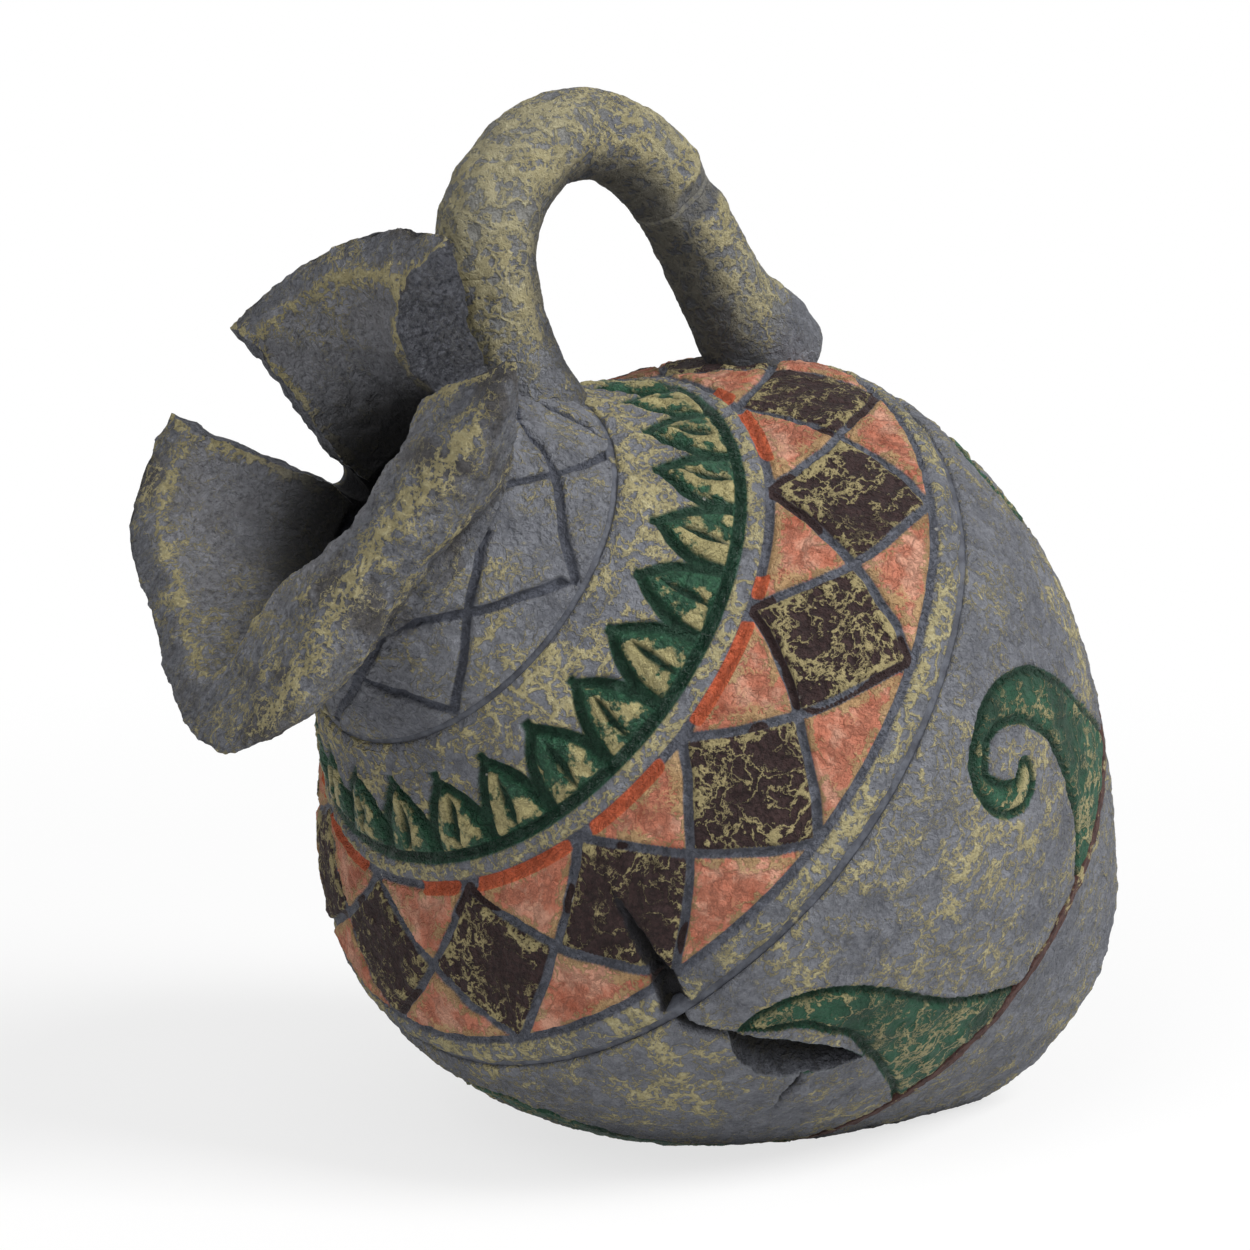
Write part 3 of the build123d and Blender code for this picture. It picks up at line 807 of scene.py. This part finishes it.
SHERD_ANGLE, SHERD_LOW, SHERD_HIGH, SHERD_REACH = -66.0, 70.0, 100.0, 62.0
NOTCH_HIGH = 104.0
GRIME, CREASE_SHADE_GREY, PIT_SHADE = (66, 60, 54), (58, 58, 62), (56, 54, 54)
BLACK_THROAT, GREY_THROAT, LIT_LIP = (10, 10, 11), (126, 126, 130), (154, 154, 158)
LIP_SHARD, PALE_LIP_SHARD, LOW_SHARD_SHADE = (60, 62, 70), (128, 130, 138), (24, 24, 27)
HANDLED, HANDLED_RUBBED = 0.9, 0.05


def rim_table(angle, table):
    """Radius read off a chart drawn round the rim, by the angle from the handle."""
    turn = (-angle).maths("WRAP", -angle, 360.0, 0.0) / 360.0
    stops = [(a / 360, r / LARGEST) for a, r in table]
    return angle.node("ShaderNodeFloatCurve", {"stops": stops}, {"Value": turn}) * LARGEST


def sherd(place, direction, low, high, sides, counts):
    """A lost piece of the lip: a block whose two sides follow the break."""
    block = place.node("GeometryNodeMeshCube", {}, {
        "Size": (1.0, 1.0, 1.0), "Vertices X": counts[0], "Vertices Y": counts[1], "Vertices Z": counts[2]})
    spot = place.position()
    out = (spot.part("X") + 0.5) * SHERD_REACH
    level = (spot.part("Z") + 0.5) * (high - low) + low
    block = keep(block, height=(level - THROAT) / (RIM - THROAT))
    near, far = sides(out, level)
    aside = near + (far - near) * (spot.part("Y") + 0.5)
    grain = place.point(out, aside, level)
    rough = (grain.noise(0.22, 5.0, 0.65) - 0.5) * 3.4 * (spot.part("Z") + 0.5).step(-0.05, 0.15)
    turn = math.radians(direction)
    seat = place.point(
        out * math.cos(turn) - (aside + rough) * math.sin(turn),
        out * math.sin(turn) + (aside + rough) * math.cos(turn), level + rough * 0.4)
    block = moved(block, seat)
    return smoothed(keep(block, broken=1.0, relief=0.5))


def back_sides(out, level):
    half = ((level - NOTCH_FOOT) * NOTCH_SLOPE).most(1.9)
    return -half, half


def near_sides(out, level):
    slope = (level - 76.0) * 0.45 + (out - 20.0) * 0.2
    return (RIM - level) * 0.6 + 1.5, slope + 20.0


def brink(here, direction, sides):
    """1 along the edge that a lost piece left on the wall, 0 away from it."""
    turn = math.radians(direction)
    out = here.part("X") * math.cos(turn) + here.part("Y") * math.sin(turn)
    aside = here.part("Y") * math.cos(turn) - here.part("X") * math.sin(turn)
    near, far = sides(out, here.part("Z"))
    return (near - aside).most(aside - far).step(2.2, 0.4) * out.step(2.0, 6.0)


def mouth_tree():
    tree, given = start_tree("pinched mouth", {
        "Throat Radius": "Float", "Throat Inside": "Float", "Tilt": "Float", "Roll": "Float",
        "Columns": "Int", "Outside Rows": "Int", "Lip Rows": "Int", "Inside Rows": "Int",
        "Foot Rows": "Int", "Material": "Material"})
    throat, bore = given["Throat Radius"], given["Throat Inside"]
    out_rows, lip_rows = given["Outside Rows"], given["Lip Rows"]
    in_rows, foot_rows = given["Inside Rows"], given["Foot Rows"]
    rows = out_rows + lip_rows + in_rows + foot_rows
    sheet = flat_sheet(given["Columns"], rows)
    spot = throat.position()
    turn = spot.part("X") * (2 * math.pi)
    angle = spot.part("X") * 360.0
    row = (spot.part("Y") + 0.5) * rows
    across, along = turn.maths("COSINE", turn), turn.maths("SINE", turn)
    rolled = ((angle - ROLL_ANGLE).wrap(180.0) / ROLL_SPREAD).bell(4.0)
    spout = ((angle - SPOUT_ANGLE).wrap(180.0) / SPOUT_SPREAD).bell()
    thick = ((angle - THICK_ANGLE) / THICK_SPREAD).bell()

    over = ((row - out_rows) / lip_rows).clamp()
    down = ((row - out_rows - lip_rows) / in_rows).clamp()
    back_up = ((row - out_rows - lip_rows - in_rows) / foot_rows).clamp()
    round_rim = throat.point(across * 36.0, along * 36.0, 0.0)
    whole = 1.02 - round_rim.noise(0.05, 2.0) * 0.05 - round_rim.noise(0.3, 3.0) * 0.03
    edge = whole - rolled * (0.22 - over * 0.18)
    curl = (over * math.pi).maths("SINE", over * math.pi) * (0.035 + rolled * 0.085)
    share = edge * ((row / out_rows).clamp() - down) - 0.3 * (down - back_up) + curl
    inward = (1 - (over * math.pi).maths("COSINE", over * math.pi)) * 0.5 - back_up

    crease = ((angle - CREASE_ANGLE).wrap(180.0) / CREASE_SPREAD).bell() * CREASE_SHARE
    climb = ((share - crease) / (1 - crease)).clamp()
    flare = (1.4 - spout * 0.8 - rolled * 0.75).most(0.6)
    outside = throat + (rim_table(angle, LIP_OUTSIDE) - throat) * climb ** flare
    swell = (climb ** 0.8 * math.pi).maths("SINE", climb ** 0.8 * math.pi)
    outside = outside + rolled * swell * given["Roll"]
    hollow = 1.3 - spout * 0.5 + thick * 1.7
    inside = bore + (rim_table(angle, LIP_INSIDE) - bore) * share.clamp() ** hollow
    radius = outside + (inside - outside) * inward
    tip = given["Tilt"] * share.most(0.0) * (math.pi / 180)
    level = share * (RIM - THROAT) + THROAT
    x = radius * across
    position = throat.point(
        x * tip.maths("COSINE", tip), radius * along, level + x * tip.maths("SINE", tip))

    crest = rolled * ((over - 0.3) / 0.13).bell() + (1 - rolled) * ((over + down * 6 - 1) / 0.2).bell()
    above = share - crease
    sheet = keep(
        sheet, inside=inward, crest=crest * (share / edge).step(0.75, 0.95), height=share,
        fold=rolled * ((above - 0.01) / 0.05).bell() * (1 - inward),
        lower_lip=rolled * ((above - 0.18) / 0.07).bell() * (1 - inward))
    sheet = welded(moved(sheet, position))
    here = throat.position()
    normal = throat.node("GeometryNodeInputNormal", {}, {})
    relief = hand_relief(here)
    broken_edge = brink(here, NOTCH_ANGLE, back_sides).most(brink(here, SHERD_ANGLE, near_sides))
    sheet = keep(sheet, relief=relief, brink=broken_edge)
    dent = here.noise(0.06, 2.0) * 0.8 + here.noise(0.14, 2.0) + (MEAN_RELIEF - relief) * 2.0 - 0.8
    dent = dent * here.part("Z").step(65.5, 68.5)
    offset = throat.node("ShaderNodeVectorMath", {"operation": "SCALE"}, {0: normal, "Scale": -dent})
    sheet = smoothed(sheet.node("GeometryNodeSetPosition", {}, {"Geometry": sheet, "Offset": offset}))
    sheet = break_out(sheet, sherd(throat, NOTCH_ANGLE, NOTCH_FOOT, NOTCH_HIGH, back_sides, (90, 10, 62)))
    sheet = break_out(sheet, sherd(throat, SHERD_ANGLE, SHERD_LOW, SHERD_HIGH, near_sides, (90, 30, 50)))
    close_tree(tree, stand_up(sheet), given["Material"])
    return tree


mouth_clay, place = start_material("mouth clay")
inside, crest, broken, tall = (mark(place, name) for name in ("inside", "crest", "broken", "height"))
ridge = crest.most(mark(place, "brink")).most(mark(place, "lower_lip") * 0.7)
brush, colour, worn, height = brushed_clay(place, ridge * 0.042 + 0.014, 1.7)
inner = inside.step(0.6, 1.0)
grime = place.noise(95.0, 4.0, 0.6).step(0.48, 0.62) * (1 - worn)
colour = mix(colour, GRIME, grime * (0.7 - inner * 0.35))
# Painted shade: a dark line along the crease under the rolled near lip.
colour = mix(colour, CREASE_SHADE_GREY, mark(place, "fold") * 0.75)
shade = tall.step(0.7, 0.1) * inner
colour = mix(colour, mix(BLACK_THROAT, GREY_THROAT, tall.step(0.0, 0.7)), shade * 0.95)
colour = mix(colour, LIT_LIP, inner * tall.step(0.35, 0.75) * (1 - worn) * 0.45)
# Painted shade: the low pits of the grain and the hollows between the ridges are darkened where no ochre
# lies.
pit_shade = brush.grain.step(0.48, 0.34).most(brush.threads.step(0.08, 0.17)) * (1 - worn)
colour = mix(colour, PIT_SHADE, pit_shade * 0.5)
shard = mix(LIP_SHARD, PALE_LIP_SHARD, (brush.grain * 0.6 + brush.relief * 0.4).step(0.35, 0.6))
# Painted shade: the broken faces darken towards the throat, low in the mouth.
shard = mix(shard, LOW_SHARD_SHADE, tall.step(0.25, -0.1))
colour = mix(colour, shard, broken * 0.92)
close_material(place, colour, HANDLED - worn * HANDLED_RUBBED, height, CLAY_BUMP)
mouth = grow("mouth_funnel_skin", mouth_tree(), {
    "Throat Radius": 23.3, "Throat Inside": 17.0, "Tilt": 5.0, "Roll": 2.4, "Columns": 760,
    "Outside Rows": 46, "Lip Rows": 22, "Inside Rows": 36, "Foot Rows": 2, "Material": mouth_clay})
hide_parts("mouth_funnel")
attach(mouth, "root")


# ---------------------------------------------------------------- coil handle
# One round coil, luted to the neck and set down on the shoulder in a wide thumbed foot. It broke
# once, near the top of its outer leg, and was mended with grey filler in a hair-thin gap.
COIL_BENDS = [
    (23.0, 53.2), (30.0, 62.6), (36.8, 70.7), (43.4, 74.7), (50.0, 75.0), (56.6, 73.2), (61.5, 68.9),
    (64.5, 63.6), (65.6, 57.7), (65.2, 51.5), (62.8, 43.6), (60.5, 37.5), (57.9, 31.0), (56.1, 23.0),
    (54.6, 15.2),
]
coil_line = smooth_line(COIL_BENDS, 16)
COIL_RUN = float(np.sum(np.hypot(*np.diff(coil_line, axis=0).T)))
coil = helper_curve("coil_path", [(q, 0.0, t) for q, t in coil_line])
ROOT_END, BREAK_AT, MEND = 22.5, 71.0, 0.9
COIL_RADII = [
    (0.0, 10.6), (6.0, 8.4), (12.0, 7.4), (22.5, 7.4), (36.0, 7.1), (45.0, 6.7), (60.0, 6.7), (72.0, 6.7),
    (COIL_RUN - 27, 6.6), (COIL_RUN - 18, 6.9), (COIL_RUN - 9, 8.4), (COIL_RUN - 4, 8.7), (COIL_RUN, 7.4),
]
THICKEST = 20.0
FOOT_WIDER, FOOT_FLATTER = 0.08, 0.2
CHIP_SHIFT, CHIP_HALF, CHIP_DEPTH = 0.8, 3.2, 1.0
SMEAR, UNDERSIDE_SHADE, CHIP_GREY = (160, 157, 138), (66, 67, 72), (86, 88, 95)
FILLER, PALE_FILLER = (80, 80, 82), (108, 105, 92)


def coil_tree():
    tree, given = start_tree("coil handle", {
        "Path": "Object", "Start": "Float", "End": "Float", "Chip At": "Float",
        "Columns": "Int", "Rows": "Int", "Cap Rows": "Int", "Material": "Material"})
    start, end = given["Start"], given["End"]
    rows, caps = given["Rows"], given["Cap Rows"]
    total = rows + caps * 2
    sheet = flat_sheet(given["Columns"], total)
    spot = start.position()
    turn = spot.part("X") * (2 * math.pi)
    row = (spot.part("Y") + 0.5) * total
    along = start + (end - start) * ((row - caps) / rows).clamp()
    cap = (row / caps).least((total - row) / caps).clamp()
    lane = start.node("GeometryNodeObjectInfo", {}, {"Object": given["Path"]}, "Geometry")
    path = start.node("GeometryNodeSampleCurve", {"mode": "LENGTH", "data_type": "FLOAT"},
                      {"Curves": lane, "Length": along}, "Position")
    way = path.also("Tangent")
    stops = [(a / COIL_RUN, r / THICKEST) for a, r in COIL_RADII]
    radius = start.node("ShaderNodeFloatCurve", {"stops": stops}, {"Value": along / COIL_RUN}) * THICKEST
    foot = (along - COIL_RUN).step(-20.0, -6.0)
    across = turn.maths("COSINE", turn) * (1 + foot * FOOT_WIDER)
    up = turn.maths("SINE", turn) * (1 - foot * FOOT_FLATTER)

    def around(reach):
        return start.point(path.part("X") + way.part("Z") * across * reach, up * reach,
                           path.part("Z") - way.part("X") * across * reach)

    straight = around(radius)
    relief = hand_relief(straight)
    dents = straight.noise(0.06, 2.0) * 1.2 + (MEAN_RELIEF - relief) * 1.1 - 0.55
    near = (along - given["Chip At"] - straight.noise(0.2, 2.0) * 2 + 1) / CHIP_HALF
    chip = (1 - near * near).clamp() * (across * -0.35 - up * 0.9).step(0.35, 0.85)
    radius = (radius - dents - chip * CHIP_DEPTH) * cap
    bare = along.step(20.0, 5.0).most((along - COIL_RUN).step(-15.0, -7.0))
    sheet = keep(sheet, under=across, bare=bare, relief=relief, broken=chip.step(0.1, 0.5))
    sheet = moved(sheet, around(radius))
    close_tree(tree, stand_up(smoothed(welded(sheet))), given["Material"])
    return tree


handle_clay, place = start_material("handle clay")
bare, under = mark(place, "bare"), mark(place, "under")
brush, colour, worn, height = brushed_clay(place, 0.050 - bare * 0.045, 1.5)
smear = place.noise(70.0, 3.0, 0.6).step(0.35, 0.65) * (1 - bare)
colour = mix(colour, SMEAR, smear * 0.4)
# Painted shade: the inner side of the coil, inside the loop and facing the jug, is darkened.
colour = mix(colour, UNDERSIDE_SHADE, under.step(0.0, 0.8) * 0.8)
colour = mix(colour, CHIP_GREY, mark(place, "broken") * 0.8)
close_material(place, colour, HANDLED - worn * HANDLED_RUBBED, height, CLAY_BUMP)
handle_tree = coil_tree()


def coil_piece(node, start, end, material, rows):
    piece = grow(node + "_skin", handle_tree, {
        "Path": coil, "Start": start, "End": end, "Chip At": BREAK_AT + CHIP_SHIFT,
        "Columns": 120, "Rows": rows, "Cap Rows": 6, "Material": material})
    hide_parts(node)
    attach(piece, "root")


coil_piece("handle_root", 0.0, ROOT_END + 0.02, handle_clay, 80)
coil_piece("handle_arch", ROOT_END, BREAK_AT, handle_clay, 200)
mend_filler, place = start_material("mend filler")
grit = place.noise(900.0, 4.0, 0.7)
colour = mix(FILLER, PALE_FILLER, grit.step(0.35, 0.65))
close_material(place, colour, 0.85 - grit * 0.1, grit, 0.0006)
coil_piece("handle_mend", BREAK_AT, BREAK_AT + MEND, mend_filler, 4)
coil_piece("handle_leg", BREAK_AT + MEND, COIL_RUN, handle_clay, 140)
for holder in (profile, scroll_line, crack_line, coil):
    bpy.data.objects.remove(holder)


# ---------------------------------------------------------------- studio
# A pale seamless floor that shows white to the camera and keeps the soft shadow, two wide
# soft boxes above and in front, and the long lens of a product photograph.
def seen_white(ray):
    """1 for the rays that are to find plain white: the camera's, mirrored and passed-on ones."""
    return ray.most(ray.also("Is Glossy Ray")).most(ray.also("Is Transmission Ray"))


floor_mesh = bpy.data.meshes.new("pale_floor")
floor_mesh.from_pydata([(-3, -3, 0), (3, -3, 0), (3, 3, 0), (-3, 3, 0)], [], [(0, 1, 2, 3)])
floor = bpy.data.objects.new("pale_floor", floor_mesh)
bpy.context.scene.collection.objects.link(floor)
floor_paint, place = start_material("pale floor")
sweep = mix((238, 238, 238), (246, 246, 246), place.noise(3.0, 2.0).step(0.3, 0.7))
matt = place.node("ShaderNodeBsdfPrincipled", {}, {
    "Base Color": sweep, "Roughness": 0.95, "Specular IOR Level": 0.1})
white = place.node("ShaderNodeEmission", {}, {"Color": (1.0, 1.0, 1.0, 1.0), "Strength": 1.0})
ray = place.node("ShaderNodeLightPath", {}, {}, "Is Camera Ray")
seen = seen_white(ray)
far = place.node("ShaderNodeVectorMath", {"operation": "LENGTH"}, {0: place}, "Value").step(0.1, 0.45)
paper = place.node("ShaderNodeMixShader", {}, {0: seen * (0.72 + far * 0.28), 1: matt, 2: white})
place.node("ShaderNodeOutputMaterial", {}, {"Surface": paper})
floor_mesh.materials.append(floor_paint)


def soft_box(name, place, aim, width, power):
    lamp = bpy.data.lights.new(name, "AREA")
    lamp.shape = "SQUARE"
    lamp.size = width
    lamp.energy = power
    box = bpy.data.objects.new(name, lamp)
    box.location = place
    box.rotation_euler = (Vector(aim) - Vector(place)).to_track_quat("-Z", "Y").to_euler()
    bpy.context.scene.collection.objects.link(box)


soft_box("soft_box_left", (-0.85, -0.35, 0.85), (0, 0, 0.06), 0.7, 5.0)
soft_box("soft_box_right", (0.4, -0.9, 0.95), (0, 0, 0.06), 0.6, 18.0)

world = bpy.data.worlds.new("white room")
world.use_nodes = True
world.node_tree.nodes.clear()
ray = Strand(world.node_tree.nodes.new("ShaderNodeLightPath").outputs["Is Camera Ray"])
seen = seen_white(ray)
glow = ray.node("ShaderNodeBackground", {}, {"Color": (1.0, 1.0, 1.0, 1.0), "Strength": 0.35 + seen * 0.65})
ray.node("ShaderNodeOutputWorld", {}, {"Surface": glow})
bpy.context.scene.world = world

azimuth, elevation, distance = math.radians(-39.4), math.radians(10.0), 0.6818
back = Vector((
    math.sin(azimuth) * math.cos(elevation), -math.cos(azimuth) * math.cos(elevation), math.sin(elevation)))
lens = bpy.data.cameras.new("product_lens")
lens.sensor_width = 36.0
lens.lens = 130.9
lens.shift_x, lens.shift_y = -0.0472, 0.0888
camera = bpy.data.objects.new("product_camera", lens)
camera.location = CENTRE / 1000 + back * distance
camera.rotation_euler = (-back).to_track_quat("-Z", "Y").to_euler()
bpy.context.scene.collection.objects.link(camera)
bpy.context.scene.camera = camera
bpy.context.scene.view_settings.view_transform = "Standard"
